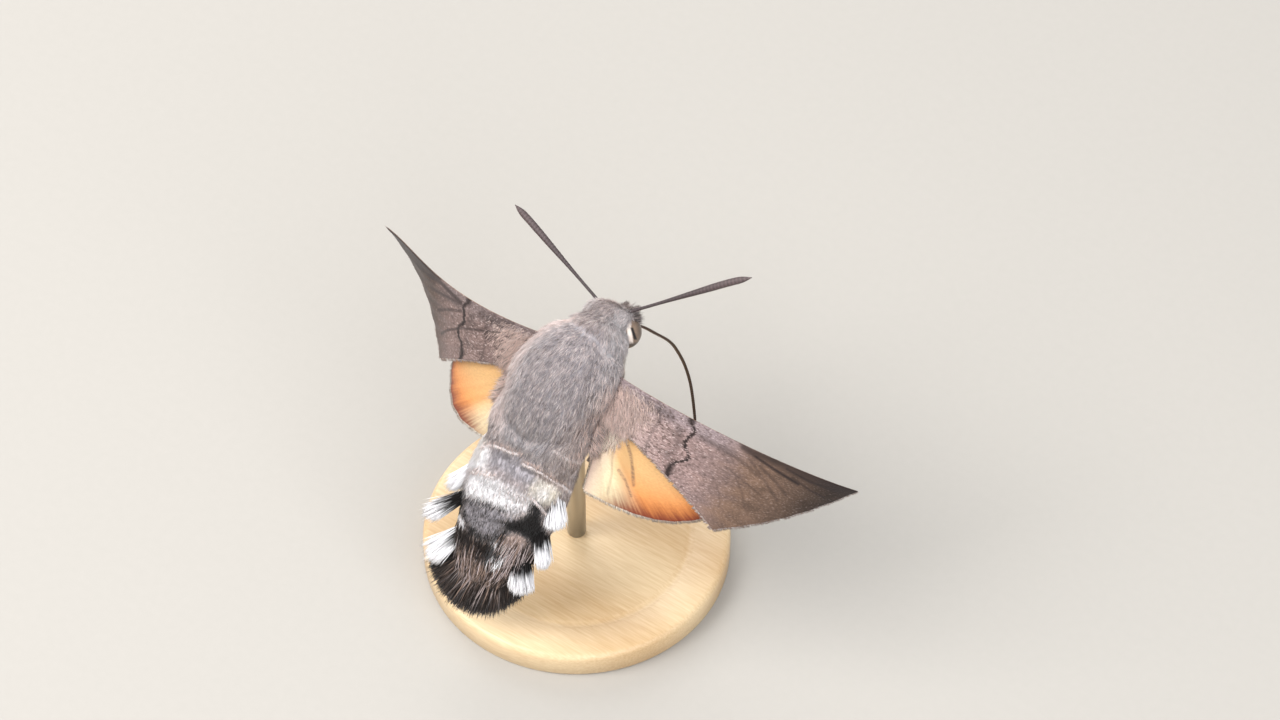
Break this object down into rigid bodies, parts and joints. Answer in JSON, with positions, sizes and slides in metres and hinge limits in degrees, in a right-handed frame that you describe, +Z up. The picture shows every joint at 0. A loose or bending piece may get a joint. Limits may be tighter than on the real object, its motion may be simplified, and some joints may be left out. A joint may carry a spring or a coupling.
{
  "type": "hummingbird hawk moth display model",
  "caption": "Life-size hovering hummingbird hawk moth with drooping spread wings, clubbed antennae, long tongue and hair tail fan, held by a rod on a round base.",
  "frame": {"origin": "centre of the stand base's underside, on the floor", "axes": "+Z up, the moth heads along +Y, its right wing points along +X"},
  "size_m": [0.0478, 0.0265, 0.034],
  "materials": {
    "stand_base": "pale beech, satin",
    "stand_rod": "brushed",
    "thorax": "dense short grey-brown fur",
    "abdomen": "grey-brown hair-like scales with pale, white and black marks",
    "tail_fan": "black-brown hair-like scales",
    "side_tuft": "white and black hair-like scales",
    "forewing": "grey-brown overlapping scales on a veined membrane",
    "hindwing": "orange scales on a veined membrane, matt",
    "leg": "thin jointed legs with pale scales",
    "eye": "grey-beige compound eye, smooth and slightly glossy",
    "palp": "pale short scales",
    "antenna": "dark grey-brown ringed feeler with fine scales",
    "head": "dense short grey-brown fur",
    "proboscis": "dark brown horny tube"
  },
  "bodies": {
    "root": {"stand_base": "stand_base", "stand_rod": "stand_rod", "thorax": "thorax", "abdomen_front": "abdomen", "abdomen_middle": "abdomen", "abdomen_rear": "abdomen", "tail_fan": "tail_fan", "side_tuft_front_left": "side_tuft", "side_tuft_middle_left": "side_tuft", "side_tuft_rear_left": "side_tuft", "forewing_left": "forewing", "hindwing_left": "hindwing", "leg_fore_left": "leg", "leg_mid_left": "leg", "leg_hind_left": "leg", "side_tuft_front_right": "side_tuft", "side_tuft_middle_right": "side_tuft", "side_tuft_rear_right": "side_tuft", "forewing_right": "forewing", "hindwing_right": "hindwing", "leg_fore_right": "leg", "leg_mid_right": "leg", "leg_hind_right": "leg", "eye_left": "eye", "palp_left": "palp", "antenna_left": "antenna", "eye_right": "eye", "palp_right": "palp", "antenna_right": "antenna", "head": "head", "proboscis_base": "proboscis", "proboscis_middle": "proboscis", "proboscis_tip": "proboscis"}
  },
  "joints": []
}
